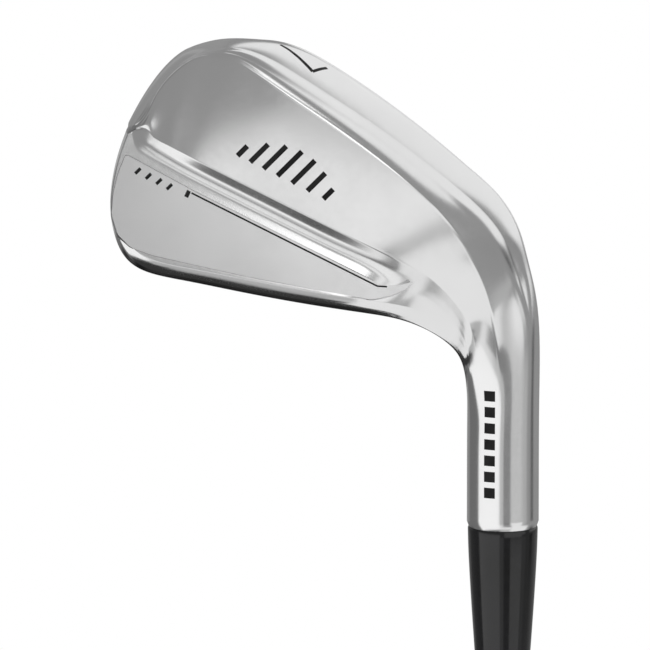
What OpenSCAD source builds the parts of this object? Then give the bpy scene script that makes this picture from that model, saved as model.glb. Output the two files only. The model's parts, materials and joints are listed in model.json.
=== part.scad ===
// Iron golf club, right-handed, seven iron.
// The club stands on its butt end: +Z runs along the shaft from the grip to the head,
// +Y is the side that the face looks towards and -X is the side that the toe points to.

/* [Club] */
// Butt end of the grip to the point where the shaft axis meets the ground
club_length = 940; // [900:1:980]
// Angle between the shaft axis and the ground
lie = 63; // [61:0.5:65]
// Angle of the face back from the vertical
loft = 30.5; // [29:0.5:32]

/* [Head] */
// Ground to the end of the hosel, along the shaft axis
hosel_height = 72.5; // [68:0.5:80]
// Outside radius of the hosel
hosel_r = 6.8; // [6.6:0.1:7]
// Radius of the hole for the shaft
bore_r = 4.8; // [4.76:0.02:5]
// Depth of the hole for the shaft
bore_depth = 30; // [26:1:32]
// How far the face plane sits in front of the shaft axis, at the ground
face_front = 5.4; // [4.5:0.1:6]
// Thickness of the upper blade, square to the face
blade_thickness = 7.7; // [7:0.1:8.5]
// Thickness of the striking face insert
insert_thickness = 2.4; // [2:0.1:2.6]
// Thickness of the rear panel
panel_thickness = 1; // [0.8:0.1:1.2]
// Number of score lines on the face
score_lines = 13; // [9:1:13]

/* [Shaft] */
// Outside radius of the shaft at its tip
tip_r = 4.7; // [4.6:0.02:4.72]
// Outside radius of the shaft under the grip
butt_r = 7.62; // [7.3:0.01:7.7]
// Thickness of the tube wall
shaft_wall = 0.45; // [0.4:0.05:0.7]
// Number of steps between the tip and the butt
shaft_steps = 12; // [8:1:12]
// Length of each step
step_length = 38; // [30:1:38]
// Shaft tip to the first step
first_step = 180; // [160:1:190]

/* [Grip] */
// Length of the grip, its cap included
grip_length = 267; // [250:1:280]
// Thickness of the end cap
cap_height = 4.5; // [3:0.5:6]
// Radius of the end cap
cap_r = 13.4; // [13:0.1:14]
// Radius of the vent hole in the end cap
vent_r = 1.6; // [1:0.1:2]

/* [Hidden] */
$fn = 96;
hosel_end = club_length - hosel_height;
bore_end = hosel_end + bore_depth;
shaft_tip = bore_end - 1;
shaft_butt = cap_height;

// ---- small mathematics -------------------------------------------------------------
function mix(a, b, w) = a + (b - a) * w;
function ease(x) = let (c = max(0, min(1, x))) c * c * (3 - 2 * c);
function unit(v) = v / norm(v);
function flat(p) = [p.x, p.y, 0];
// Smooth curve through a list of points, at position s counted in points
function at(p, i) = p[max(0, min(len(p) - 1, i))];
function knot(p, i) = at(p, i) - (at(p, i - 1) - 2 * at(p, i) + at(p, i + 1)) / 6;
function curve(p, s) = let (i = min(floor(s), len(p) - 2), x = s - i)
    (pow(1 - x, 3) * knot(p, i - 1) + (3 * x * x * x - 6 * x * x + 4) * knot(p, i)
    + (-3 * x * x * x + 3 * x * x + 3 * x + 1) * knot(p, i + 1)
    + x * x * x * knot(p, i + 2)) / 6;
// Points from a towards b, the last one left out, bowed sideways by a vector
function run(a, b, n, bow) = [for (k = [0:n - 1]) let (x = k / n)
    mix(a, b, x) + bow * 4 * x * (1 - x)];
// Points of a rounded corner from a to b, the last one left out
function corner(a, c, b, n) = [for (k = [0:n - 1]) let (x = k / n)
    mix(mix(a, c, x), mix(c, b, x), x)];

// ---- the head's own frame ------------------------------------------------------------
// x towards the toe, y up from the ground, z back from the face. The origin is where the
// shaft axis meets the ground.
axis_dir = [-cos(lie), sin(lie), 0];
across_dir = [sin(lie), cos(lie), 0];
module in_head_frame() {
    multmatrix([[-sin(lie), -cos(lie), 0, 0], [0, 0, -1, 0],
        [cos(lie), -sin(lie), 0, club_length], [0, 0, 0, 1]])
        children();
}
// Height of the planes of the head above the x-y plane
function face_z(y) = y * tan(loft) - face_front;
function panel_z(y) = face_z(y) + blade_thickness / cos(loft);
function on_face(p, depth) = [p.x, p.y, face_z(p.y) + depth / cos(loft)];

// Feature lines of the blade, from the toe tip round to the hosel: the lowest line of the
// sole, the back edge of the sole, the lower edge of the muscle, its ledge and the topline.
sole_line = [[66, 26, 13], [65.8, 22, 10.6], [65.2, 17.8, 8.2], [64.2, 13.8, 6.2],
    [62.4, 10, 4.4], [60, 7.7, 3.4], [57, 5.5, 2.6], [53, 3.4, 2], [48, 1.1, 1.4],
    [42, 0, 1], [33, 0.5, 1], [22, 2, 1], [12, 4, 1], [4, 6, 1], [-3, 7.9, 1],
    [-9.5, 11.9, 0.6], [-14.6, 17.8, 0.2]];
sole_edge = [[65.3, 25.4, 16.8], [65, 21.5, 17.1], [64.4, 17.4, 16.3], [63.4, 13.6, 15.5],
    [62, 10.4, 14.7], [60, 7.8, 14], [57, 5.4, 13.6], [53, 3.8, 13.5], [48, 3.5, 13.5],
    [42, 4.1, 13.5], [33, 5.1, 13.5], [22, 6.5, 13.5], [12, 8.4, 13.2], [4.5, 10.2, 12.2],
    [-2.5, 12.6, 10.3], [-8.2, 16.2, 7.8], [-13.3, 21.3, 5.4]];
pad_edge = [[64.8, 24.7, 17.5], [63.8, 22.6, 18.8], [64, 17.8, 17.5], [63, 13.6, 16.4],
    [61.6, 10.4, 15.8], [59.8, 8.3, 15.4], [57.4, 6.7, 15.2], [53.8, 5.8, 15.4],
    [48.5, 6.1, 16], [42, 6.9, 16.7], [33, 8, 17.2], [22, 9.7, 17.7], [12, 12, 17.9],
    [4.5, 14.8, 16.5], [-2, 18.7, 14.1], [-7, 23, 11], [-12.3, 28.6, 8]];
ledge = [[64.6, 25.5, 17.6], [63, 24.2, 19.2], [61.4, 24.8, 19.7], [59.6, 25, 20],
    [58, 25, 20.3], [56, 25, 20.5], [54, 25, 20.7], [51.3, 25, 20.9], [47.2, 25, 21],
    [41.5, 25, 21], [33, 25, 21], [22, 25, 21], [12, 25, 20.3], [5, 25.4, 18.1],
    [-1, 27, 14.6], [-6, 29.7, 11.1], [-10.5, 33.4, 7.5]];
topline = [[65.7, 26.8, 13.8], [65.4, 30, 15.7], [64.9, 33, 17.6], [64.1, 36, 19.5],
    [63, 38.8, 21.5], [61.6, 41.3, 23.3], [59.4, 44, 25.4], [56, 46.6, 26.7],
    [51, 47.3, 27.2], [43, 45.4, 25.9], [33, 43, 24.5], [22, 40.1, 22.8], [12, 37.2, 21.1],
    [4, 35.4, 17.7], [-3, 35.7, 13.1], [-8.6, 37.5, 8.3], [-12.5, 40.9, 3.4]];
stations = len(ledge);
first_heel = 13;

// How far the blade has turned into the hosel at a station
function heel_turn(i) = i <= first_heel ? 0 : [0.14, 0.5, 0.86][i - first_heel - 1];
function face_point(i, p) = [p.x, p.y, mix(face_z(p.y), -0.85 * hosel_r, heel_turn(i))];
function inward(i, from) = unit(flat(ledge[i]) - flat(from[i]));
// Points across the back between the ledge and the topline, n of them being the panel. At
// the heel the panel plane gives way to a skin that carries on from the muscle's slope.
function hollow(i, n) = let (
        up = flat(topline[i]) - flat(ledge[i]), d = norm(up), way = up / d,
        lip = min(mix(0.5, 3.2, ease((i - 4) / 4)), mix(0.3, 0.45, heel_turn(i)) * d),
        slope = (ledge[i].z - pad_edge[i].z - 1) / norm(flat(ledge[i]) - flat(pad_edge[i])),
        w = i < first_heel ? 1 : i == first_heel ? 0.12 : 0,
        skin = function (along, lift) let (x = along / d,
            p = flat(ledge[i]) + way * (along + 2 * heel_turn(i) * x * (1 - x)),
            z = ledge[i].z + slope * along
                + (topline[i].z - ledge[i].z - slope * d) * x * x * x)
            [p.x, p.y, mix(z, panel_z(p.y) + lift, w)],
        foot = skin(min(2.1, 0.25 * d), 0.23 * (ledge[i].z - panel_z(ledge[i].y))),
        rise = skin(min(3.6, 0.45 * d), 0), rim = skin(d - lip, 0),
        crest = skin(d - mix(0.7, 0.85, heel_turn(i)) * lip, -0.255 * lip),
        brow = skin(d - mix(0.42, 0.65, heel_turn(i)) * lip, -0.58 * lip))
    concat(run(ledge[i], foot, 2, [0, 0, 0]), run(foot, rise, 3, [0, 0, 0]),
        run(rise, rim, n, [0, 0, 0]), run(rim, crest, 1, [0, 0, 0]),
        run(crest, brow, 1, [0, 0, 0]), run(brow, topline[i], 3, 0.1 * way));
function blade_row(i) = let (
        down = -inward(i, sole_line), toe = 1 - ease(i / 8), out = -inward(i, topline),
        low_face = face_point(i, sole_line[i] - down * mix(4.4, 1.1, toe)),
        low_corner = face_point(i, sole_line[i] - down * mix(1.5, 0.3, toe)),
        top_face = face_point(i, topline[i] - 0.5 * out))
    concat(corner(low_face, low_corner, sole_line[i], 4),
        run(sole_line[i], sole_edge[i], 5, down * mix(1.2, 0.35, toe)),
        run(sole_edge[i], pad_edge[i], 2, [0, -0.1, 0.1]),
        run(pad_edge[i], ledge[i], 5, [0, 0, 0.25]),
        hollow(i, 4),
        run(topline[i], top_face, 3, 0.3 * out),
        run(top_face, low_face, 4, [0, 0, 0]));
// Angles round the hosel at which the same points arrive, from the back towards the sole
hosel_angles = concat(run(150, 95, 4, 0), run(95, 43, 5, 0), run(43, -6, 2, 0),
    run(-6, -38, 5, 0), run(-38, -48, 2, 0), run(-48, -64, 3, 0), run(-64, -77, 4, 0),
    run(-77, -84, 1, 0), run(-84, -91, 1, 0), run(-91, -100, 3, 0), run(-100, -140, 3, 0),
    run(-140, -210, 4, 0));
function ring(h, slant) = [for (a = hosel_angles)
    (h - slant * sin(a)) * axis_dir - hosel_r * sin(a) * across_dir
    + [0, 0, hosel_r * cos(a)]];
rows = concat([for (i = [0:stations - 1]) blade_row(i)],
    [ring(41, 9), ring(52, 4), ring(62, 1.5), ring(hosel_height, 0)]);
columns = [for (j = [0:len(rows[0]) - 1]) [for (row = rows) row[j]]];

// Closed skin of the head, one side of the toe tip to the end of the hosel
module head_skin(per_station = 4) {
    last = len(rows) - 1;
    count = last * per_station;
    m = len(columns);
    skin = [for (k = [0:count]) for (c = columns) curve(c, k / per_station)];
    sides = [for (k = [0:count - 1], j = [0:m - 1]) let (n = (j + 1) % m)
        each [[k * m + j, (k + 1) * m + j, (k + 1) * m + n],
            [k * m + j, (k + 1) * m + n, k * m + n]]];
    polyhedron(skin, concat(sides, [[for (j = [0:m - 1]) j]],
        [[for (j = [m - 1:-1:0]) count * m + j]]), convexity = 8);
}

// ---- pieces of the head --------------------------------------------------------------
// Frame on the face plane: x to the toe, y up along the face, z into the head.
module in_face_frame() {
    in_head_frame() translate([0, 0, -face_front]) rotate([loft, 0, 0]) children();
}
// Frame on the shaft axis with its z from the hosel end into the head.
module in_hosel_frame() {
    translate([0, 0, hosel_end]) children();
}
module rounded(r) {
    offset(r = r) offset(delta = -r) children();
}
module insert_outline() {
    rounded(4) polygon([[13, 9.5], [40, 8], [51, 9], [58, 13.5], [61.5, 20], [62.3, 29],
        [61, 38], [58, 45.5], [53.5, 50.5], [48, 50.5], [13, 40.5]]);
}
module panel_outline() {
    rounded(0.6) polygon([[64.3, 39.2], [50, 39.7], [10, 39.7], [7.4, 38.2], [5, 36],
        [5.7, 38.2], [7.6, 40.6], [11, 43.4], [22, 46.8], [33, 50.1], [43, 52.8], [51.5, 55],
        [56, 55.6], [59.3, 54.4], [61.9, 51.4], [63.3, 47.6], [64.1, 43.4]]);
}
module pocket_outline() {
    rounded(1.5) polygon([[16, 12.5], [50, 11.5], [59.3, 18], [59.3, 27], [16, 27]]);
}
module between(x0, x1) {
    translate([x0, 0]) square([x1 - x0, 60]);
}
pocket_floor = 8.4;
module in_pocket(x0, x1) {
    translate([0, 0, insert_thickness + 0.05])
        linear_extrude(pocket_floor - insert_thickness - 0.15)
        intersection() {
            offset(delta = -0.1) pocket_outline();
            between(x0, x1);
        }
}
// A long thin line with a tick at its toe end and four short slanted bars beyond the tick
module panel_marks(grow) {
    translate([11, 40.1 - grow / 2]) square([39, 0.4 + grow]);
    translate([50.6, 40.9]) square([0.8, 1.4] + [grow, grow], center = true);
    for (k = [0:3])
        translate([54.3 + 2.2 * k, 41.2]) multmatrix([[1, 0.36, 0, 0], [0, 1, 0, 0]])
            square([0.5, 1.3] + [grow, grow], center = true);
}
// The figure on the sole is two strokes on a plane laid against the sole
module on_sole() {
    in_head_frame() translate([42, 1.1, 7]) rotate([-19 - 90, 0, 0]) children();
}
module stroke(a, b, w) {
    hull() {
        translate(a) square(w, center = true);
        translate(b) square(w, center = true);
    }
}
module figure(w) {
    stroke([4.7, 1.4], [-2.7, -2.1], w);
    stroke([-2.7, -2.1], [-5.1, 1.6], w);
}
// Plain bars on the muscle, in a frame lying on it
module on_muscle() {
    in_head_frame() translate([36, 18.5, 19.4]) rotate([atan(0.215), 0, 0]) children();
}
module muscle_bars(grow) {
    for (k = [-3:3])
        translate([3 * k, 0.2 * k * k - 0.6]) multmatrix([[1, 0.35, 0, 0], [0, 1, 0, 0],
            [0, 0, 1, 0], [0, 0, 0, 1]])
            square([1 + grow, 6 - 0.4 * k * k + grow], center = true);
}
module hosel_bars() {
    for (k = [0:6])
        rotate(-22.8) translate([-1.1, -hosel_r - 1, 25 - 3.1 * k]) cube([2.2, 4, 2]);
}

module head_body() {
    color("silver") difference() {
        in_head_frame() head_skin();
        in_hosel_frame() translate([0, 0, -1]) cylinder(r = bore_r, h = bore_depth + 1);
        in_face_frame() {
            translate([0, 0, -3]) linear_extrude(3 + insert_thickness) insert_outline();
            linear_extrude(insert_thickness + 1.4) offset(delta = -2.4) insert_outline();
            linear_extrude(pocket_floor) pocket_outline();
            translate([0, 0, blade_thickness - panel_thickness])
                linear_extrude(5) panel_outline();
        }
        on_sole() linear_extrude(2) figure(0.7);
        on_muscle() linear_extrude(2) muscle_bars(0);
        in_hosel_frame() intersection() {
            difference() {
                cylinder(r = hosel_r + 1, h = 50);
                translate([0, 0, -1]) cylinder(r = hosel_r - 0.3, h = 52);
            }
            hosel_bars();
        }
    }
}
module score_line(k) {
    y = 12.5 + 2.9 * k;
    start = 15.5;
    length = k == 0 ? 30 : k == 1 ? 33 : 35.5;
    translate([start, y, -0.45]) rotate([45, 0, 0]) cube([length, 0.64, 0.64]);
}
module face_insert() {
    color("gainsboro") in_face_frame() difference() {
        linear_extrude(insert_thickness) offset(delta = -0.04) insert_outline();
        for (k = [0:score_lines - 1])
            score_line(k);
    }
}
module rear_panel() {
    color("lightgray") in_face_frame() difference() {
        translate([0, 0, blade_thickness - panel_thickness + 0.02])
            linear_extrude(panel_thickness - 0.02) offset(delta = -0.04) panel_outline();
        translate([0, 0, blade_thickness - 0.3]) linear_extrude(1) panel_marks(0.1);
    }
}
module panel_line_fill() {
    color("black") in_face_frame() translate([0, 0, blade_thickness - 0.28])
        linear_extrude(0.26) panel_marks(0);
}
module toe_weight() {
    color("dimgray") in_face_frame() in_pocket(53, 60);
}
module heel_weight() {
    color("dimgray") in_face_frame() in_pocket(15, 22);
}
module face_damper() {
    color("steelblue") in_face_frame() in_pocket(22.2, 52.8);
}
module sole_number_fill() {
    color("black") on_sole() translate([0, 0, 0.03]) linear_extrude(0.35) figure(0.62);
}
module back_mark_fill() {
    color("black") on_muscle() translate([0, 0, 0.03]) linear_extrude(0.3) muscle_bars(-0.06);
}
module hosel_mark_fill() {
    color("black") in_hosel_frame() intersection() {
        difference() {
            cylinder(r = hosel_r, h = 50);
            translate([0, 0, -1]) cylinder(r = hosel_r - 0.27, h = 52);
        }
        hosel_bars();
    }
}
module hosel_epoxy() {
    color("khaki") in_hosel_frame() difference() {
        translate([0, 0, 0.2]) cylinder(r = bore_r, h = bore_depth - 1.2);
        translate([0, 0, -1]) cylinder(r = tip_r, h = bore_depth + 2);
    }
}

// ---- shaft and its trim --------------------------------------------------------------
ferrule_length = 25.4;
module ferrule() {
    color("black") translate([0, 0, hosel_end - ferrule_length]) rotate_extrude()
        polygon([[tip_r + 0.02, 0], [tip_r + 0.3, 0], [5.25, 0.6], [5.7, 7], [6.15, 14],
            [6.5, 20.5], [6.62, 25.2], [6.5, ferrule_length],
            [tip_r + 0.02, ferrule_length]]);
}
// Outside radius of the shaft after n steps from the tip
function step_r(n) = mix(tip_r, butt_r, n / shaft_steps);
function step_z(n) = shaft_tip - first_step - (n - 1) * step_length;
function stepped(inset) = concat([[step_r(0) - inset, shaft_tip]],
    [for (n = [1:shaft_steps]) each [[step_r(n - 1) - inset, step_z(n) + 0.3],
        [step_r(n) - inset, step_z(n)]]],
    [[butt_r - inset, shaft_butt]]);
module shaft() {
    inside = stepped(shaft_wall);
    color("silver") rotate_extrude()
        polygon(concat(stepped(0), [for (k = [len(inside) - 1:-1:0]) inside[k]]));
}
module tip_plug() {
    color("goldenrod") translate([0, 0, shaft_tip]) rotate_extrude()
        polygon([[0, -18], [3.4, -18], [tip_r - shaft_wall - 0.03, -17],
            [tip_r - shaft_wall - 0.03, 0], [tip_r - 0.1, 0], [tip_r - 0.1, 0.8], [0, 0.8]]);
}
module shaft_band() {
    color("gray") translate([0, 0, step_z(6) - step_length + 4]) difference() {
        cylinder(r = step_r(6) + 0.12, h = 30);
        translate([0, 0, -1]) cylinder(r = step_r(6) + 0.01, h = 32);
    }
}

// ---- grip ------------------------------------------------------------------------------
module grip_tape() {
    color("white") translate([0, 0, cap_height + 0.2]) difference() {
        cylinder(r = butt_r + 0.12, h = grip_length - cap_height - 6);
        translate([0, 0, -1]) cylinder(r = butt_r + 0.01, h = grip_length);
    }
}
module grip() {
    bore = butt_r + 0.14;
    mouth = 8.9;
    color("dimgray") rotate_extrude() difference() {
        polygon([[bore, cap_height], [13.1, cap_height], [12.9, 9], [12.4, 20], [11.9, 45],
            [11.4, 90], [10.6, 150], [9.7, 210], [9.1, 255], [mouth + 0.1, 258],
            [mouth + 0.6, 259], [mouth + 0.7, 262.5], [mouth, grip_length - 1],
            [bore + 0.4, grip_length], [bore, grip_length]]);
        for (z = [24, 29, 34, 232, 237, 242])
            translate([mix(12.3, 9.3, (z - 24) / 218), z]) circle(r = 0.5, $fn = 8);
    }
}
module grip_cap() {
    color("dimgray") rotate_extrude()
        polygon([[vent_r, 0], [cap_r - 1.6, 0], [cap_r - 0.45, 0.5], [cap_r, 1.6],
            [cap_r, cap_height - 0.9], [cap_r - 0.4, cap_height], [vent_r, cap_height]]);
}

head_body();
face_insert();
rear_panel();
toe_weight();
heel_weight();
face_damper();
sole_number_fill();
panel_line_fill();
back_mark_fill();
hosel_mark_fill();
hosel_epoxy();
ferrule();
shaft();
tip_plug();
shaft_band();
grip_tape();
grip();
grip_cap();
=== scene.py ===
"""Looks of the iron golf club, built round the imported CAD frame."""
import json
import math

import bmesh
import bpy
import numpy as np
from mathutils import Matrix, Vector
from mathutils.bvhtree import BVHTree


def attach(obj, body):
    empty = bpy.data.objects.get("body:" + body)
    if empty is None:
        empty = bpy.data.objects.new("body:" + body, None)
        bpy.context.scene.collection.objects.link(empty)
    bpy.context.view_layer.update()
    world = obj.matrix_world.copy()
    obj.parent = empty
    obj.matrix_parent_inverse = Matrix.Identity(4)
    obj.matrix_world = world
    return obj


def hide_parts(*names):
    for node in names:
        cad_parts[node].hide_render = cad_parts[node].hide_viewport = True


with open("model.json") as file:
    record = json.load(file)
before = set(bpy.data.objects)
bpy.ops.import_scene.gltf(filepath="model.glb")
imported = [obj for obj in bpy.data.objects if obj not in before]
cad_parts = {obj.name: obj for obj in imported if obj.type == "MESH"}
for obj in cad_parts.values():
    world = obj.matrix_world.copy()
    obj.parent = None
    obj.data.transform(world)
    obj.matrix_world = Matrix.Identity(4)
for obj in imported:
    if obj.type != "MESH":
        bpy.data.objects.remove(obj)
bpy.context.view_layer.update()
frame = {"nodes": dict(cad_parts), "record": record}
SCENE = bpy.context.scene
MM = 0.001

# Sizes of the club, in millimetres and degrees, as in the CAD
CLUB = 940.0
LIE = math.radians(63)
LOFT = math.radians(30.5)
HOSEL_HEIGHT = 72.5
HOSEL_R = 6.8
BORE_R = 4.8
BORE_DEPTH = 30.0
FACE_FRONT = 5.4
BLADE = 7.7
INSERT = 2.4
PANEL = 1.0


# ---- small helpers ---------------------------------------------------------------------
def v3(*values):
    return np.array(values, float)


def unit(v):
    return v / np.linalg.norm(v)


def ease(x):
    c = min(max(x, 0.0), 1.0)
    return c * c * (3 - 2 * c)


def mix(a, b, w):
    return a + (b - a) * w


def to_row(points):
    """Head frame (toe, up, back) in millimetres to the row frame in metres."""
    t, u, b = np.asarray(points, float).reshape(-1, 3).T
    x = -math.sin(LIE) * t - math.cos(LIE) * u
    z = CLUB + math.cos(LIE) * t - math.sin(LIE) * u
    return np.stack([x, -b, z], 1) * MM


def face_to_head(points):
    """Face frame (toe, up the face, into the head) to the head frame."""
    x, y, z = np.asarray(points, float).reshape(-1, 3).T
    c, s = math.cos(LOFT), math.sin(LOFT)
    return np.stack([x, y * c - z * s, y * s + z * c - FACE_FRONT], 1)


def make_mesh(name, verts, faces, smooth=40.0):
    mesh = bpy.data.meshes.new(name)
    mesh.from_pydata([tuple(v) for v in verts], [], [tuple(f) for f in faces])
    mesh.validate()
    obj = bpy.data.objects.new(name, mesh)
    SCENE.collection.objects.link(obj)
    tidy_normals(obj, smooth)
    return obj


def tidy_normals(obj, smooth):
    bm = bmesh.new()
    bm.from_mesh(obj.data)
    bmesh.ops.recalc_face_normals(bm, faces=bm.faces)
    bm.to_mesh(obj.data)
    bm.free()
    if smooth:
        obj.data.shade_smooth()
        obj.data.set_sharp_from_angle(angle=math.radians(smooth))


def apply_modifiers(obj):
    graph = bpy.context.evaluated_depsgraph_get()
    result = bpy.data.meshes.new_from_object(obj.evaluated_get(graph))
    obj.modifiers.clear()
    obj.data = result


def cut(obj, tool):
    """Takes the tool out of the object and removes the tool."""
    mod = obj.modifiers.new("cut", "BOOLEAN")
    mod.operation = "DIFFERENCE"
    mod.solver = "EXACT"
    mod.object = tool
    apply_modifiers(obj)
    bpy.data.objects.remove(tool)


# ---- skin of the head ------------------------------------------------------------------
AXIS = v3(-math.cos(LIE), math.sin(LIE), 0)
ACROSS = v3(math.sin(LIE), math.cos(LIE), 0)

# Edges of the head at the same 17 sections, from the toe to the heel. Each point is
# [towards the toe, up, towards the back] in the head frame, in millimetres
SOLE_LINE = [[66, 26, 13], [65.8, 22, 10.6], [65.2, 17.8, 8.2], [64.2, 13.8, 6.2],
             [62.4, 10, 4.4], [60, 7.7, 3.4], [57, 5.5, 2.6], [53, 3.4, 2], [48, 1.1, 1.4],
             [42, 0, 1], [33, 0.5, 1], [22, 2, 1], [12, 4, 1], [4, 6, 1],
             [-3, 7.9, 1], [-9.5, 11.9, 0.6], [-14.6, 17.8, 0.2]]
SOLE_EDGE = [[65.3, 25.4, 16.8], [65, 21.5, 17.1], [64.4, 17.4, 16.3], [63.4, 13.6, 15.5],
             [62, 10.4, 14.7], [60, 7.8, 14], [57, 5.4, 13.6], [53, 3.8, 13.5],
             [48, 3.5, 13.5], [42, 4.1, 13.5], [33, 5.1, 13.5], [22, 6.5, 13.5],
             [12, 8.4, 13.2], [4.5, 10.2, 12.2], [-2.5, 12.6, 10.3], [-8.2, 16.2, 7.8],
             [-13.3, 21.3, 5.4]]
PAD_EDGE = [[64.8, 24.7, 17.5], [63.8, 22.6, 18.8], [64, 17.8, 17.5], [63, 13.6, 16.4],
            [61.6, 10.4, 15.8], [59.8, 8.3, 15.4], [57.4, 6.7, 15.2], [53.8, 5.8, 15.4],
            [48.5, 6.1, 16], [42, 6.9, 16.7], [33, 8, 17.2], [22, 9.7, 17.7],
            [12, 12, 17.9], [4.5, 14.8, 16.5], [-2, 18.7, 14.1], [-7, 23, 11],
            [-12.3, 28.6, 8]]
LEDGE = [[64.6, 25.5, 17.6], [63, 24.2, 19.2], [61.4, 24.8, 19.7], [59.6, 25, 20],
         [58, 25, 20.3], [56, 25, 20.5], [54, 25, 20.7], [51.3, 25, 20.9],
         [47.2, 25, 21], [41.5, 25, 21], [33, 25, 21], [22, 25, 21],
         [12, 25, 20.3], [5, 25.4, 18.1], [-1, 27, 14.6], [-6, 29.7, 11.1],
         [-10.5, 33.4, 7.5]]
TOPLINE = [[65.7, 26.8, 13.8], [65.4, 30, 15.7], [64.9, 33, 17.6], [64.1, 36, 19.5],
           [63, 38.8, 21.5], [61.6, 41.3, 23.3], [59.4, 44, 25.4], [56, 46.6, 26.7],
           [51, 47.3, 27.2], [43, 45.4, 25.9], [33, 43, 24.5], [22, 40.1, 22.8],
           [12, 37.2, 21.1], [4, 35.4, 17.7], [-3, 35.7, 13.1], [-8.6, 37.5, 8.3],
           [-12.5, 40.9, 3.4]]

# The section where the flat back ends, and how far each later one has turned into the neck
FIRST_HEEL = 13
HEEL_TURN = [0.14, 0.5, 0.86]
ARC_STEPS = 5
ROWS_PER_SECTION = 7


def face_b(u):
    """Depth of the striking face at a height."""
    return u * math.tan(LOFT) - FACE_FRONT


def panel_b(u):
    """Depth of the flat upper back at a height."""
    return face_b(u) + BLADE / math.cos(LOFT)


def unit_or_zero(v):
    size = np.linalg.norm(v)
    return v / size if size > 1e-9 else v * 0


def spaced(i, run):
    """Share of the way from 0 to 1 of step i, with the steps closer at both ends."""
    x = i / run
    return mix(x, 0.5 - 0.5 * math.cos(math.pi * x), 0.6)


def sweep(corners):
    """Closed row of points from corners [point, radius, run length, bow]."""
    out = []
    n = len(corners)
    points = [c[0] for c in corners]
    gaps = [np.linalg.norm(points[(k + 1) % n] - points[k]) for k in range(n)]
    radii = [min(c[1], 0.45 * gaps[k - 1], 0.45 * gaps[k]) for k, c in enumerate(corners)]
    for k, (point, radius, run, bow) in enumerate(corners):
        before, after = points[k - 1], points[(k + 1) % n]
        start = point + unit_or_zero(before - point) * radii[k]
        end = point + unit_or_zero(after - point) * radii[k]
        if radius:
            for i in range(ARC_STEPS):
                x = i / ARC_STEPS
                out.append(mix(mix(start, point, x), mix(point, end, x), x))
        target = after + unit_or_zero(point - after) * radii[(k + 1) % n]
        for i in range(run):
            x = spaced(i, run)
            out.append(mix(end, target, x) + bow * 4 * x * (1 - x))
    return out


def blade_row(i):
    """Corners of one section of the blade, from the sole side of the face round the back."""
    sole, edge, pad, ledge, top = (v3(*line[i]) for line in
                                   (SOLE_LINE, SOLE_EDGE, PAD_EDGE, LEDGE, TOPLINE))
    flat = v3(1, 1, 0)
    down = unit((sole - ledge) * flat)
    out = unit((top - ledge) * flat)
    toe = 1 - ease(i / 8)
    heel = HEEL_TURN[i - FIRST_HEEL - 1] if i > FIRST_HEEL else 0
    flatness = 1.0 if i < FIRST_HEEL else 0.12 if i == FIRST_HEEL else 0.0

    def on_face(p):
        return v3(p[0], p[1], mix(face_b(p[1]), -0.85 * HOSEL_R, heel))

    low_face = on_face(sole - down * mix(4.4, 1.1, toe))
    low_corner = on_face(sole - down * mix(1.5, 0.3, toe))
    leading_edge = mix(low_face, sole, 0.5) * 0.5 + low_corner * 0.5
    top_face = on_face(top - 0.5 * out)
    span = np.linalg.norm((top - ledge) * flat)
    lip = min(mix(0.5, 3.2, ease((i - 4) / 4)), mix(0.3, 0.45, heel) * span)
    slope = (ledge[2] - pad[2] - 1) / np.linalg.norm((ledge - pad) * flat)

    def skin(along, lift):
        """Point of the upper back, along the way from the ledge to the topline."""
        x = along / span
        bulge = 4 * x * (1 - x)
        p = ledge + out * (along + 0.5 * heel * bulge)
        smooth = ledge[2] + slope * along + (top[2] - ledge[2] - slope * span) * x ** 3
        return v3(p[0], p[1], mix(smooth, panel_b(p[1]) + lift, flatness))

    foot = skin(min(2.1, 0.25 * span), 0.23 * (ledge[2] - panel_b(ledge[1])))
    rise = skin(min(3.6, 0.45 * span), 0)
    rim = skin(span - lip, 0)
    crest = skin(span - mix(0.7, 0.85, heel) * lip, -0.255 * lip)
    brow = skin(span - mix(0.42, 0.65, heel) * lip, -0.58 * lip)
    none = v3(0, 0, 0)
    small = min(1.0, span / 12)
    return [
        [low_face, 0, 6, none],
        [leading_edge, 1.2, 4, none],
        [sole, 0.8, 12, down * mix(1.1, 0.3, toe)],
        [edge, 1.6, 6, v3(0, -0.1, 0.1)],
        [pad, 0.45, 16, v3(0, 0, 0.25)],
        [ledge, 0.15, 4, none],
        [foot, 0.9 * small, 6, none],
        [rise, 0.6 * small, 12, none],
        [rim, 0.12 * small, 4, none],
        [crest, 0.6 * small, 3, none],
        [brow, 0.6 * small, 4, none],
        [top, mix(0.8, 3, heel) * small, 6, 0.15 * out],
        [top_face, 0.5 * small, 14, none],
    ]


# Angles round the hosel, in degrees, where the corners of a section run out
HOSEL_STOPS = [150, 122, 95, 43, -6, -38, -48, -64, -77, -84, -91, -100, -140]


def ring(height, slant, radius=HOSEL_R):
    """Section of the hosel with the same number of points as a section of the blade."""
    spec = blade_row(9)
    corners = [[float(a), math.degrees(row[1] / HOSEL_R) * 0.6, row[2]]
               for a, row in zip(HOSEL_STOPS, spec)]
    corners.append([HOSEL_STOPS[0] - 360.0, 0, 0])
    corners[0][1] = 0
    angles = []
    for k, (point, turn_size, run) in enumerate(corners[:-1]):
        if spec[k][1]:
            angles += [mix(point + turn_size, point - turn_size, i / ARC_STEPS)
                       for i in range(ARC_STEPS)]
        start, end = point - turn_size, corners[k + 1][0] + corners[k + 1][1]
        angles += [mix(start, end, spaced(i, run)) for i in range(run)]
    points = []
    for angle in angles:
        a = math.radians(angle)
        points.append((height - slant * math.sin(a)) * AXIS - radius * math.sin(a) * ACROSS
                      + v3(0, 0, radius * math.cos(a)))
    return points


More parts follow.
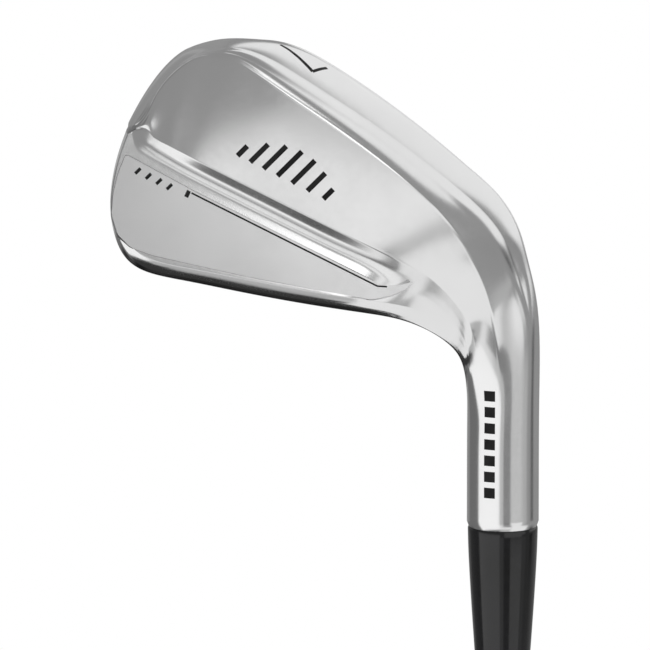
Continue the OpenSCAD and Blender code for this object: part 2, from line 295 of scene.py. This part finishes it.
def spline(rows, per_row):
    """Smooth rows between the given rows, which they pass close to."""
    p = np.array(rows)
    n = len(p)

    def at(i):
        return p[max(0, min(n - 1, i))]

    def knot(i):
        return at(i) - (at(i - 1) - 2 * at(i) + at(i + 1)) / 6

    out = []
    for k in range((n - 1) * per_row + 1):
        i = min(k // per_row, n - 2)
        x = k / per_row - i
        out.append(((1 - x) ** 3 * knot(i - 1) + (3 * x ** 3 - 6 * x ** 2 + 4) * knot(i)
                    + (-3 * x ** 3 + 3 * x ** 2 + 3 * x + 1) * knot(i + 1)
                    + x ** 3 * knot(i + 2)) / 6)
    return out


def head_mesh(name):
    """Skin of the whole head with the hosel's bore, as one closed mesh."""
    rows = [sweep(blade_row(i)) for i in range(len(LEDGE))]
    rows += [ring(41, 9), ring(52, 4), ring(62, 1.5), ring(HOSEL_HEIGHT - 0.4, 0)]
    skin = spline(rows, ROWS_PER_SECTION)
    skin.append(np.array(ring(HOSEL_HEIGHT, 0, HOSEL_R - 0.35)))
    skin.append(np.array(ring(HOSEL_HEIGHT, 0, BORE_R + 0.4)))
    skin.append(np.array(ring(HOSEL_HEIGHT - 0.4, 0, BORE_R)))
    skin.append(np.array(ring(HOSEL_HEIGHT - BORE_DEPTH, 0, BORE_R)))
    m = len(skin[0])
    verts = to_row(np.concatenate(skin))
    faces = []
    for k in range(len(skin) - 1):
        for j in range(m):
            n = (j + 1) % m
            faces.append((k * m + j, (k + 1) * m + j, (k + 1) * m + n, k * m + n))
    faces.append(range(m))
    faces.append(range((len(skin) - 1) * m, len(skin) * m))
    return make_mesh(name, verts, faces, 45)


def prism(name, outline, low, high, rounding=0.0):
    """A plate with a rounded outline between two depths of the face frame."""
    pts = round_outline(outline, rounding) if rounding else [v3(*p, 0)[:2] for p in outline]
    n = len(pts)
    verts = [v3(p[0], p[1], low) for p in pts] + [v3(p[0], p[1], high) for p in pts]
    faces = [tuple(range(n))[::-1], tuple(range(n, 2 * n))]
    faces += [(k, (k + 1) % n, n + (k + 1) % n, n + k) for k in range(n)]
    return make_mesh(name, to_row(face_to_head(verts)), faces)


def round_outline(outline, radius, steps=8):
    """Outline with its corners rounded."""
    out = []
    n = len(outline)
    for k in range(n):
        p, a, b = (v3(*outline[j % n]) for j in (k, k - 1, k + 1))
        reach = min(radius, 0.45 * np.linalg.norm(a - p), 0.45 * np.linalg.norm(b - p))
        start, end = p + unit(a - p) * reach, p + unit(b - p) * reach
        for i in range(steps + 1):
            x = i / steps
            out.append(mix(mix(start, p, x), mix(p, end, x), x))
    return out


def finish_piece(obj, body_slot, material, *nodes):
    """Gives a piece its material and body, and hides the CAD nodes it stands for; body_slot is
    not used.
    """
    obj.data.materials.clear()
    obj.data.materials.append(material)
    if nodes:
        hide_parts(*nodes)
    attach(obj, "root")
    return obj


def bevel(obj, width, segments, limit):
    """Rounds the edges sharper than the limit, by a width in millimetres."""
    mod = obj.modifiers.new("bevel", "BEVEL")
    mod.width = width * MM
    mod.segments = segments
    mod.limit_method = "ANGLE"
    mod.angle_limit = math.radians(limit)
    mod.harden_normals = True
    apply_modifiers(obj)


def turned(name, loops, smooth):
    """Closed solid from closed loops of (radius, height), one for each step round the shaft."""
    around, n = len(loops), len(loops[0])
    verts, faces = [], []
    for k, loop in enumerate(loops):
        a = 2 * math.pi * k / around
        m = (k + 1) % around
        verts += [(r * math.cos(a) * MM, r * math.sin(a) * MM, z * MM) for r, z in loop]
        faces += [(k * n + j, m * n + j, m * n + (j + 1) % n, k * n + (j + 1) % n)
                  for j in range(n)]
    return make_mesh(name, verts, faces, smooth)


def lathe(name, profile, segments=96, smooth=35.0):
    """Solid turned about the shaft axis from one closed loop of (radius, height)."""
    return turned(name, [profile] * segments, smooth)


# ---- node trees --------------------------------------------------------------------------
class Nodes:
    """Short way to build a node tree."""

    def __init__(self, tree):
        self.tree = tree

    def add(self, kind, **values):
        node = self.tree.nodes.new(kind)
        for key, value in values.items():
            setattr(node, key, value)
        return node

    def put(self, socket, value):
        if isinstance(value, bpy.types.NodeSocket):
            self.tree.links.new(value, socket)
        else:
            socket.default_value = value

    def math(self, operation, a, b=0.0):
        node = self.add("ShaderNodeMath", operation=operation)
        self.put(node.inputs[0], a)
        self.put(node.inputs[1], b)
        return node.outputs[0]

    def rise(self, x, low, high, bottom=0.0, top=1.0):
        """bottom below low, top above high, smooth between."""
        node = self.add("ShaderNodeMapRange", interpolation_type="SMOOTHSTEP")
        self.put(node.inputs["Value"], x)
        node.inputs["From Min"].default_value = low
        node.inputs["From Max"].default_value = high
        node.inputs["To Min"].default_value = bottom
        node.inputs["To Max"].default_value = top
        return node.outputs["Result"]

    def noise(self, scale, detail=3.0, stretch=(1, 1, 1), turn=(0, 0, 0), rough=0.55):
        """Noise in the row frame, in metres, turned and stretched."""
        place = self.add("ShaderNodeMapping", vector_type="POINT")
        place.inputs["Scale"].default_value = stretch
        turned = self.add("ShaderNodeMapping", vector_type="POINT")
        turned.inputs["Rotation"].default_value = turn
        coords = self.add("ShaderNodeTexCoord")
        self.put(turned.inputs["Vector"], coords.outputs["Object"])
        self.put(place.inputs["Vector"], turned.outputs["Vector"])
        node = self.add("ShaderNodeTexNoise")
        node.inputs["Scale"].default_value = scale
        node.inputs["Detail"].default_value = detail
        node.inputs["Roughness"].default_value = rough
        self.put(node.inputs["Vector"], place.outputs["Vector"])
        return node.outputs["Fac"]

    def blend(self, factor, a, b):
        node = self.add("ShaderNodeMix", data_type="RGBA")
        self.put(node.inputs["Factor"], factor)
        self.put(node.inputs["A"], (*a, 1) if isinstance(a, tuple) else a)
        self.put(node.inputs["B"], (*b, 1) if isinstance(b, tuple) else b)
        return node.outputs["Result"]

    def bump(self, height, distance, after=None):
        node = self.add("ShaderNodeBump")
        node.inputs["Strength"].default_value = 1.0
        node.inputs["Distance"].default_value = distance
        self.put(node.inputs["Height"], height)
        if after:
            self.put(node.inputs["Normal"], after)
        return node.outputs["Normal"]


def new_material(name, metallic=0.0, coat=0.0, gloss=0.5):
    mat = bpy.data.materials.new(name)
    mat.use_nodes = True
    shader = mat.node_tree.nodes["Principled BSDF"]
    shader.inputs["Metallic"].default_value = metallic
    shader.inputs["Specular IOR Level"].default_value = gloss
    shader.inputs["Coat Weight"].default_value = coat
    return mat, shader, Nodes(mat.node_tree)


# Turns the grain of a brushed surface so that it follows the blade
BLADE_TURN = (0, LIE - math.pi / 2, 0)


def polished_metal(name, bright, dull, smooth, rough, brush=0.0, stretch=(1, 1, 1),
                   turn=(0, 0, 0), grain=0.000004, metallic=1.0):
    """Plated or bare metal with faint smears, handling marks and a fine grain."""
    mat, shader, n = new_material(name, metallic)
    smear = n.noise(38, 4.0)
    n.put(shader.inputs["Base Color"], n.blend(n.rise(smear, 0.35, 0.7), bright, dull))
    marks = n.noise(900, 5.0, stretch, turn, 0.65)
    patchy = n.math("ADD", n.math("MULTIPLY", smear, 0.6), n.math("MULTIPLY", marks, 0.4))
    n.put(shader.inputs["Roughness"], n.rise(patchy, 0.3, 0.72, smooth, rough))
    fine = n.bump(n.noise(5200, 2.0), grain)
    if brush:
        fine = n.bump(marks, brush, after=fine)
    n.put(shader.inputs["Normal"], fine)
    return mat


def soft_material(name, colour, second, smooth, rough, scale, depth, coat=0.0, gloss=0.5):
    """Rubber, plastic, enamel or paper: mottled colour, varied gloss and a fine texture."""
    mat, shader, n = new_material(name, coat=coat, gloss=gloss)
    mottle = n.noise(scale * 0.12, 4.0)
    n.put(shader.inputs["Base Color"], n.blend(n.rise(mottle, 0.35, 0.68), colour, second))
    grain = n.noise(scale, 4.0)
    n.put(shader.inputs["Roughness"], n.rise(grain, 0.3, 0.7, smooth, rough))
    n.put(shader.inputs["Normal"], n.bump(grain, depth))
    return mat


def build_materials():
    mats = {
        "head_chrome": polished_metal("head_chrome", (0.95, 0.95, 0.95), (0.9, 0.9, 0.9),
                                      0.13, 0.21),
        "panel_satin": polished_metal("panel_satin", (0.86, 0.86, 0.86), (0.8, 0.8, 0.8),
                                      0.3, 0.4, 0.000003, (1, 1, 0.04), BLADE_TURN),
        "face_steel": polished_metal("face_steel", (0.7, 0.7, 0.69), (0.6, 0.6, 0.59),
                                     0.36, 0.5, 0.000005, (0.05, 1, 1), BLADE_TURN, 0.00001,
                                     metallic=0.5),
        "shaft_chrome": polished_metal("shaft_chrome", (0.93, 0.93, 0.93), (0.88, 0.88, 0.89),
                                       0.06, 0.13),
        "tungsten": polished_metal("tungsten", (0.36, 0.36, 0.38), (0.26, 0.26, 0.27),
                                   0.42, 0.6, 0.000006),
        "plug_brass": polished_metal("plug_brass", (0.8, 0.62, 0.3), (0.66, 0.47, 0.2),
                                     0.25, 0.4, 0.000003, (1, 1, 0.05)),
        "ferrule_gloss": soft_material("ferrule_gloss", (0.004, 0.004, 0.004),
                                       (0.007, 0.007, 0.008), 0.1, 0.2, 700, 0.000003,
                                       coat=0.25),
        "paint_fill": soft_material("paint_fill", (0.008, 0.008, 0.008),
                                    (0.016, 0.016, 0.016), 0.28, 0.45, 1500, 0.000006,
                                    gloss=0.12),
        "grip_rubber": soft_material("grip_rubber", (0.024, 0.024, 0.026),
                                     (0.042, 0.042, 0.044), 0.62, 0.86, 2400, 0.00004),
        "cap_rubber": soft_material("cap_rubber", (0.02, 0.02, 0.021),
                                    (0.036, 0.036, 0.037), 0.55, 0.8, 1900, 0.00003),
        "damper": soft_material("damper", (0.06, 0.16, 0.32), (0.09, 0.22, 0.4),
                                0.45, 0.65, 900, 0.00002),
        "epoxy": soft_material("epoxy", (0.55, 0.45, 0.24), (0.64, 0.55, 0.34),
                               0.3, 0.5, 600, 0.00002),
        "tape": soft_material("tape", (0.72, 0.67, 0.52), (0.8, 0.76, 0.64),
                              0.7, 0.9, 1600, 0.00003),
    }
    mats["band_foil"] = band_material()
    return mats


def band_material():
    """Plain foil sleeve: a dark field between two pale rings."""
    mat, shader, n = new_material("band_foil", metallic=0.7, coat=0.3)
    coords = n.add("ShaderNodeTexCoord")
    xyz = n.add("ShaderNodeSeparateXYZ")
    n.put(xyz.inputs[0], coords.outputs["Object"])
    middle = n.math("ABSOLUTE", n.math("SUBTRACT", xyz.outputs[2], BAND_MIDDLE * MM))
    pale = n.math("MULTIPLY", n.rise(middle, 0.0108, 0.0110),
                  n.math("SUBTRACT", 1.0, n.rise(middle, 0.0128, 0.0130)))
    speck = n.noise(500, 4.0)
    field = n.blend(n.rise(speck, 0.35, 0.7), (0.05, 0.052, 0.058), (0.075, 0.078, 0.085))
    n.put(shader.inputs["Base Color"], n.blend(pale, field, (0.72, 0.72, 0.7)))
    n.put(shader.inputs["Roughness"], n.rise(speck, 0.3, 0.7, 0.22, 0.36))
    n.put(shader.inputs["Normal"], n.bump(n.noise(2600, 2.0), 0.000006))
    return mat


# ---- pieces of the head ------------------------------------------------------------------
# Outlines in the face frame: towards the toe and up the face, in millimetres
INSERT_OUTLINE = [[13, 9.5], [40, 8], [51, 9], [58, 13.5], [61.5, 20], [62.3, 29], [61, 38],
                  [58, 45.5], [53.5, 50.5], [48, 50.5], [13, 40.5]]
PANEL_OUTLINE = [[64.3, 39.2], [50, 39.7], [10, 39.7], [7.4, 38.2], [5, 36.0], [5.7, 38.2],
                 [7.6, 40.6], [11, 43.4], [22, 46.8], [33, 50.1], [43, 52.8], [51.5, 55.0],
                 [56, 55.6], [59.3, 54.4], [61.9, 51.4], [63.3, 47.6], [64.1, 43.4]]
INSERT_ROUNDING, PANEL_ROUNDING = 4, 0.8
SEAM = 0.05
SCORE_LINES = 13
SCORE_HEEL, SCORE_FIRST, SCORE_PITCH = 15.5, 12.5, 2.9
SCORE_LENGTHS = [30, 33] + [35.5] * (SCORE_LINES - 2)


def shrink(outline, amount):
    """Outline moved inwards by a small amount."""
    pts = [v3(*p) for p in outline]
    area = sum(a[0] * b[1] - a[1] * b[0] for a, b in zip(pts, pts[1:] + pts[:1]))
    side = 1 if area > 0 else -1
    out = []
    for k, p in enumerate(pts):
        a, b = pts[k - 1], pts[(k + 1) % len(pts)]
        e1, e2 = unit(p - a), unit(b - p)
        n1, n2 = v3(-e1[1], e1[0]) * side, v3(-e2[1], e2[0]) * side
        n = unit(n1 + n2)
        out.append(p + n * amount / max(float(n @ n1), 0.4))
    return out


def build_head(mats):
    head = head_mesh("head")
    cut(head, prism("pocket", INSERT_OUTLINE, -3, INSERT, INSERT_ROUNDING))
    cut(head, prism("recess", PANEL_OUTLINE, BLADE - PANEL, BLADE + 6, PANEL_ROUNDING))
    tidy_normals(head, 38)
    return finish_piece(head, "head_chrome", mats["head_chrome"], "head_body")


def groove_tool(x0, x1, y):
    """V-shaped bar whose point is 0.45 mm under the face plane."""
    corners = [(y - 0.95, -0.5), (y + 0.95, -0.5), (y, 0.45)]
    verts = [(x, across, depth) for x in (x0, x1) for across, depth in corners]
    faces = [(0, 1, 2), (3, 5, 4), (0, 3, 4, 1), (1, 4, 5, 2), (2, 5, 3, 0)]
    return make_mesh("groove", to_row(face_to_head(verts)), faces, 0)


def build_insert(mats):
    outline = shrink(round_outline(INSERT_OUTLINE, INSERT_ROUNDING), SEAM)
    plate = prism("face_insert", outline, 0, INSERT - 0.02)
    for k, length in enumerate(SCORE_LENGTHS):
        cut(plate, groove_tool(SCORE_HEEL, SCORE_HEEL + length, SCORE_FIRST + SCORE_PITCH * k))
    tidy_normals(plate, 20)
    return finish_piece(plate, "face_steel", mats["face_steel"], "face_insert")


def build_panel(mats):
    outline = shrink(round_outline(PANEL_OUTLINE, PANEL_ROUNDING), SEAM)
    plate = prism("rear_panel", outline, BLADE - PANEL + 0.02, BLADE)
    bevel(plate, 0.1, 2, 60)
    return finish_piece(plate, "panel_satin", mats["panel_satin"], "rear_panel")


def ribbon(lines, cast, lift=0.03, sink=0.06):
    """Thin raised strips of paint laid on a surface. Each line is [points, width]."""
    verts, faces = [], []
    for points, width in lines:
        pts = [v3(*p) for p in points]
        path = []
        for a, b in zip(pts, pts[1:]):
            count = max(2, int(np.linalg.norm(b - a) / 0.5))
            path += [mix(a, b, k / count) for k in range(count)]
        path.append(pts[-1])
        base, across = len(verts), 4
        for k, p in enumerate(path):
            way = unit(path[min(k + 1, len(path) - 1)] - path[max(k - 1, 0)])
            side = v3(-way[1], way[0])
            for level in (lift, -sink):
                for j in range(across + 1):
                    spot, normal = cast(p + side * width * (j / across - 0.5))
                    verts.append(spot + normal * level * MM)
        row = 2 * (across + 1)
        for k in range(len(path) - 1):
            a, b = base + k * row, base + (k + 1) * row
            for j in range(across):
                faces.append((a + j, b + j, b + j + 1, a + j + 1))
                c, d = a + across + 1, b + across + 1
                faces.append((c + j, c + j + 1, d + j + 1, d + j))
            faces.append((a, a + across + 1, b + across + 1, b))
            faces.append((a + across, b + across, b + row - 1, a + row - 1))
        for end in (base, base + (len(path) - 1) * row):
            for j in range(across):
                faces.append((end + j, end + j + 1, end + across + 2 + j, end + across + 1 + j))
    return verts, faces


def caster(obj, aim):
    """Finds where a ray given by aim(point) in the row frame meets a piece."""
    tree = BVHTree.FromObject(obj, bpy.context.evaluated_depsgraph_get())

    def cast(point):
        start, way = aim(point)
        spot, normal, _, _ = tree.ray_cast(Vector(start), Vector(way))
        if spot is None:
            raise RuntimeError(f"no surface under {point} of {obj.name}")
        return np.array(spot), np.array(normal)
    return cast


def head_way(vector):
    """A direction of the head frame in the row frame."""
    return (to_row([vector]) - to_row([[0, 0, 0]]))[0] / MM


def aim_at_back(p):
    return to_row([[p[0], p[1], 60]])[0], head_way([0, 0, -1])


def aim_at_sole(p):
    return to_row([[p[0], -20, p[1]]])[0], head_way([0, 1, 0])


def aim_at_hosel(p):
    """p is millimetres round the hosel from its back, and height below the ground line."""
    a = p[0] / HOSEL_R
    out = v3(math.sin(a), -math.cos(a), 0)
    return v3(0, 0, (CLUB - p[1]) * MM) + out * 30 * MM, -out


# Two strokes of a seven, each [points, width]
SOLE_FIGURE = [([(46.7, 5.6), (39.3, 9.1)], 0.75), ([(39.3, 9.1), (36.9, 5.4)], 0.6)]


def build_marks(mats, head, panel):
    black = mats["paint_fill"]
    marks = [
        ("sole_number", "sole_number_fill", caster(head, aim_at_sole), SOLE_FIGURE),
        ("panel_line", "panel_line_fill", caster(panel, aim_at_back), panel_lines()),
        ("muscle_mark", "back_mark_fill", caster(head, aim_at_back), muscle_bars()),
        ("hosel_mark", "hosel_mark_fill", caster(head, aim_at_hosel), hosel_squares()),
    ]
    for name, node, cast, lines in marks:
        verts, faces = ribbon(lines, cast)
        finish_piece(make_mesh(name, verts, faces, 30), "paint_fill", black, node)


def muscle_bars():
    """Slanted plain bars, tallest in the middle."""
    bars = []
    for k in range(-3, 4):
        t, u, half = 36 + 3 * k, 18.5 + 0.2 * k * k - 0.6, 3 - 0.2 * k * k
        bars.append(([(t - 0.35 * half, u - half), (t + 0.35 * half, u + half)], 1.0))
    return bars


def panel_lines():
    """Fine line with a short hook, then a tick and four small slanted bars."""
    lines = [([(9.3, 30.2), (11, 30.85), (50, 30.85)], 0.28), ([(50.2, 31.3), (51, 31.3)], 1.2)]
    lines += [([(54 + 2.2 * k, 31.0), (54.5 + 2.2 * k, 32.2)], 0.6) for k in range(4)]
    return lines


def hosel_squares():
    """Seven plain squares in a column."""
    first, pitch = 46.5, 3.1
    return [([(-3.8, first + pitch * k), (-1.6, first + pitch * k)], 2.0) for k in range(7)]


# ---- shaft and grip ------------------------------------------------------------------------
HOSEL_END = CLUB - HOSEL_HEIGHT
SHAFT_TIP = HOSEL_END + BORE_DEPTH - 1
TIP_R, BUTT_R, WALL = 4.7, 7.62, 0.45
STEPS, STEP_LENGTH, FIRST_STEP = 12, 38.0, 180.0
FERRULE_LENGTH = 25.4
CAP, GRIP_LENGTH = 4.5, 267.0


def step_r(n):
    """Radius of the shaft after step n."""
    return mix(TIP_R, BUTT_R, n / STEPS)


def step_z(n):
    """Height of step n, counted from the head."""
    return SHAFT_TIP - FIRST_STEP - (n - 1) * STEP_LENGTH


BAND_STEP, BAND_HALF = 6, 15
BAND_MIDDLE = step_z(BAND_STEP) - STEP_LENGTH + 19


def build_shaft(mats):
    outer = [(TIP_R - 0.15, SHAFT_TIP), (TIP_R, SHAFT_TIP - 0.15)]
    for n in range(1, STEPS + 1):
        small, big, z = step_r(n - 1), step_r(n), step_z(n)
        outer += [(small, z + 0.5), (small + 0.02, z + 0.3), (big - 0.02, z + 0.08),
                  (big, z - 0.12)]
    outer.append((BUTT_R, CAP))
    inner = [(BUTT_R - WALL, CAP)]
    for n in range(STEPS, 0, -1):
        inner += [(step_r(n) - WALL, step_z(n)), (step_r(n - 1) - WALL, step_z(n) + 0.3)]
    inner.append((TIP_R - WALL, SHAFT_TIP))
    finish_piece(lathe("shaft_tube", outer + inner, 96, 50), "shaft_chrome",
                 mats["shaft_chrome"], "shaft")
    r = step_r(BAND_STEP)
    low, high = BAND_MIDDLE - BAND_HALF, BAND_MIDDLE + BAND_HALF
    band = [(r + 0.01, low), (r + 0.08, low), (r + 0.12, low + 0.1), (r + 0.12, high - 0.1),
            (r + 0.08, high), (r + 0.01, high)]
    finish_piece(lathe("band", band, 96), "band_foil", mats["band_foil"], "shaft_band")


def build_ferrule(mats):
    low = HOSEL_END - FERRULE_LENGTH
    bore = TIP_R + 0.02
    shape = [(TIP_R + 0.3, 0), (5.1, 0.15), (5.25, 0.6), (5.7, 7), (6.15, 14), (6.5, 20.5),
             (6.6, 24), (6.62, 25.0), (6.5, 25.36)]
    curve = spline([v3(*p) for p in shape[2:7]], 5)
    outer = [(r, low + z) for r, z in shape[:2]]
    outer += [(float(p[0]), low + float(p[1])) for p in curve]
    outer += [(r, low + z) for r, z in shape[7:]]
    loop = [(bore, low)] + outer + [(bore, HOSEL_END - 0.04)]
    finish_piece(lathe("ferrule_sleeve", loop, 96, 40), "ferrule_gloss",
                 mats["ferrule_gloss"], "ferrule")


# Height and outside radius of the grip, in millimetres, and the run that carries the tread
GRIP_SHAPE = [(5, 13.05), (9, 12.85), (20, 12.3), (45, 11.85), (90, 11.3), (150, 10.5),
              (210, 9.65), (256, 9.0)]
TREAD_LOW, TREAD_HIGH, TREAD_STEP = 5.5, 255, 0.5
TREAD_LANES = 16


def grip_radius(z):
    zs, rs = zip(*GRIP_SHAPE)
    return float(np.interp(z, zs, rs))


def tread(z, angle):
    """Depth of the grip's moulded pattern: crossed grooves between plain rings."""
    depth = 0.0
    for start, end in ((30, 108), (116, 186), (194, 228)):
        if start < z < end:
            edge = min(z - start, end - z)
            for lean in (1, -1):
                phase = (angle * TREAD_LANES / (2 * math.pi) + lean * z / 8.4) % 1.0
                near = abs(phase - 0.5) * 4.2
                depth = max(depth, 0.38 * ease((0.75 - near) / 0.5) * ease(edge / 1.2))
    for groove in (22, 25.5, 112, 190, 232, 236, 240):
        depth = max(depth, 0.42 * ease((0.9 - abs(z - groove)) / 0.6))
    return depth


def build_grip(mats):
    around = 144
    count = int((TREAD_HIGH - TREAD_LOW) / TREAD_STEP)
    heights = [TREAD_LOW + TREAD_STEP * k for k in range(count + 1)]
    bore = BUTT_R + 0.14
    head_end = [(9.15, 256.2), (9.5, 257.2), (9.62, 258.6), (9.66, 260.5), (9.6, 262.4),
                (9.4, 264.4), (9.1, 266), (8.8, 266.8), (8.5, GRIP_LENGTH),
                (bore, GRIP_LENGTH)]
    start = [(bore, CAP), (12.6, CAP), (12.95, CAP + 0.3)]
    loops = []
    for k in range(around):
        a = 2 * math.pi * k / around
        loops.append(start + [(grip_radius(z) - tread(z, a), z) for z in heights] + head_end)
    finish_piece(turned("grip_sleeve", loops, 60), "grip_rubber", mats["grip_rubber"], "grip")


def build_cap(mats):
    vent, r = 1.6, 13.4
    loop = [(vent, CAP), (vent, 0.35), (vent + 0.25, 0.08), (vent + 0.6, 0), (5, 0),
            (5.15, 0.3), (5.5, 0.45), (5.85, 0.3), (6, 0), (9.2, 0), (9.35, 0.3), (9.7, 0.45),
            (10.05, 0.3), (10.2, 0), (r - 1.7, 0), (r - 1.0, 0.15), (r - 0.45, 0.5),
            (r - 0.12, 1.0), (r, 1.7), (r, CAP - 0.9), (r - 0.12, CAP - 0.4), (r - 0.4, CAP)]
    finish_piece(lathe("cap", loop, 128, 35), "cap_rubber", mats["cap_rubber"], "grip_cap")


def paint_hidden(mats):
    """CAD nodes kept as they are get the material of their slot."""
    slots = {s["node"]: s["material_slot"] for s in frame["record"]["subparts"]}
    for node in ("toe_weight", "heel_weight", "face_damper", "hosel_epoxy", "tip_plug",
                 "grip_tape"):
        mesh = frame["nodes"][node].data
        mesh.materials.clear()
        mesh.materials.append(mats[slots[node]])


# ---- stage ---------------------------------------------------------------------------------
HEAD_MIDDLE = (-0.0336, 0, 0.906)
VIEW_ELEVATION = math.radians(10.7)
VIEW_DISTANCE = 3.0645


def build_camera():
    data = bpy.data.cameras.new("camera")
    data.lens = 900
    data.sensor_width = 36
    data.clip_start = 0.05
    data.clip_end = 50
    camera = bpy.data.objects.new("camera", data)
    SCENE.collection.objects.link(camera)
    away = Vector((0, -math.cos(VIEW_ELEVATION), math.sin(VIEW_ELEVATION)))
    camera.location = Vector(HEAD_MIDDLE) + away * VIEW_DISTANCE
    camera.rotation_euler = (-away).to_track_quat("-Z", "Y").to_euler()
    SCENE.camera = camera


# Parts of the room that the chrome reflects: azimuths and elevations in degrees, the
# camera's side being azimuth 0 and the right-hand side 90, then the softness of both and
# the brightness, or with a minus sign the share by which it darkens. They act in turn
ROOM_PARTS = [
    (98, 172, -2, 52, 3, 3, 0.82), (-200, -166, -2, 50, 4, 3, 0.3),
    (4, 66, -8, 19, 3, 4, 0.83), (13, 66, 19, 31, 5, 4, 0.83),
    (60, 80, -2, 24, 4, 3, 0.8), (20, 64, 31, 47, 6, 4, 0.36),
    (-86, -9, -43, 3, 3, 3, 0.92), (-12, 30, -43, -31, 4, 3, 0.8),
    (-11, 3, -34, -6, 3, 3, 0.72), (28, 96, -80, -25, 4, 3, 0.8),
    (30, 64, -36, -20, 4, 3, 0.8), (24, 67, -25, -13, 3, 3, 0.8),
    (23, 60, -13, -4, 4, 3, 0.52), (45, 88, -24, -6, 12, 4, 0.42),
    (-12, 28, -53, -43, 5, 4, 0.45), (6, 30, -66, -50, 5, 4, 0.5),
    (-400, -130, -17, -4, 14, 3, 0.45), (168, 400, -17, -4, 3, 3, 0.42),
    (99, 114, -15, -5, 3, 2, -0.6), (-12, 24, -22, -6, 2, 3, -0.3),
    (-168, -116, -4, 52, 5, 3, 0.5), (-164, -88, -45, 60, 5, 4, -0.45),
    (110, 400, -62, -26, 8, 5, -0.85), (-400, -130, -62, -26, 8, 5, -0.85),
]

# Brightness of the rest of the room, and of what lies far below the head
ROOM, UNDER = 0.27, 0.035


def build_world():
    world = bpy.data.worlds.new("studio")
    SCENE.world = world
    world.use_nodes = True
    n = Nodes(world.node_tree)
    background = world.node_tree.nodes["Background"]
    coords = n.add("ShaderNodeTexCoord")
    xyz = n.add("ShaderNodeSeparateXYZ")
    n.put(xyz.inputs[0], coords.outputs["Generated"])
    x, y, z = xyz.outputs
    azimuth = n.math("DEGREES", n.math("ARCTAN2", x, n.math("MULTIPLY", y, -1.0)))
    height = n.math("DEGREES", n.math("ARCSINE", z))
    total = n.rise(height, -55, -40, UNDER, ROOM)
    for a0, a1, e0, e1, soft_a, soft_e, value in ROOM_PARTS:
        sides = n.math("MULTIPLY", n.rise(azimuth, a0 - soft_a, a0 + soft_a),
                       n.rise(azimuth, a1 - soft_a, a1 + soft_a, 1.0, 0.0))
        ends = n.math("MULTIPLY", n.rise(height, e0 - soft_e, e0 + soft_e),
                      n.rise(height, e1 - soft_e, e1 + soft_e, abs(value), 0.0))
        part = n.math("MULTIPLY", sides, ends)
        if value > 0:
            total = n.math("MAXIMUM", total, part)
        else:
            total = n.math("MULTIPLY", total, n.math("SUBTRACT", 1.0, part))
    path = n.add("ShaderNodeLightPath").outputs
    even = n.math("MAXIMUM", path["Is Camera Ray"],
                  n.math("MULTIPLY", path["Is Diffuse Ray"], 0.7))
    n.put(background.inputs["Color"], n.math("MAXIMUM", total, even))


def studio_light(name, where, target, size, brightness):
    """Rectangular soft box; brightness is what the chrome sees of it."""
    data = bpy.data.lights.new(name, "AREA")
    data.shape = "RECTANGLE"
    data.size, data.size_y = size
    data.energy = brightness * math.pi * size[0] * size[1]
    light = bpy.data.objects.new(name, data)
    SCENE.collection.objects.link(light)
    light.location = where
    way = Vector(target) - Vector(where)
    light.rotation_euler = way.to_track_quat("-Z", "Y").to_euler()
    light.visible_camera = False
    return light


def head_light(name, sides, ends, distance, brightness):
    """Soft box near the head, between two azimuths and two elevations in degrees."""
    a, e = (math.radians(sum(pair) / 2) for pair in (sides, ends))
    way = Vector((math.sin(a) * math.cos(e), -math.cos(a) * math.cos(e), math.sin(e)))
    width = 2 * distance * math.tan(math.radians(sides[1] - sides[0]) / 2) * math.cos(e)
    height = 2 * distance * math.tan(math.radians(ends[1] - ends[0]) / 2)
    middle = Vector(HEAD_MIDDLE)
    return studio_light(name, middle + way * distance, middle, (width, height), brightness)


def build_lights():
    head_light("high", (26, 60), (36, 58), 0.25, 0.95)
    top = studio_light("top", (-0.6, -0.9, 2.2), (0, 0, 0.5), (1.2, 1.2), 3)
    top.visible_glossy = False


def build_floor():
    """Pale floor, kept out of the chrome so that its reflections stay those of the boxes."""
    mat, shader, n = new_material("floor")
    speck = n.noise(6, 5.0)
    n.put(shader.inputs["Base Color"], n.blend(speck, (0.86, 0.86, 0.86), (0.9, 0.9, 0.9)))
    shader.inputs["Roughness"].default_value = 0.8
    steps, reach = 64, 2.0
    turns = [2 * math.pi * k / steps for k in range(steps)]
    rim = [(reach * math.cos(a), reach * math.sin(a), 0) for a in turns]
    floor = make_mesh("floor", rim, [range(steps)], 0)
    floor.data.materials.append(mat)
    floor.visible_glossy = False


build_camera()
build_world()
materials = build_materials()
head = build_head(materials)
build_insert(materials)
panel = build_panel(materials)
build_marks(materials, head, panel)
build_ferrule(materials)
build_shaft(materials)
build_grip(materials)
build_cap(materials)
paint_hidden(materials)
build_floor()
build_lights()
SCENE.view_settings.view_transform = "Standard"
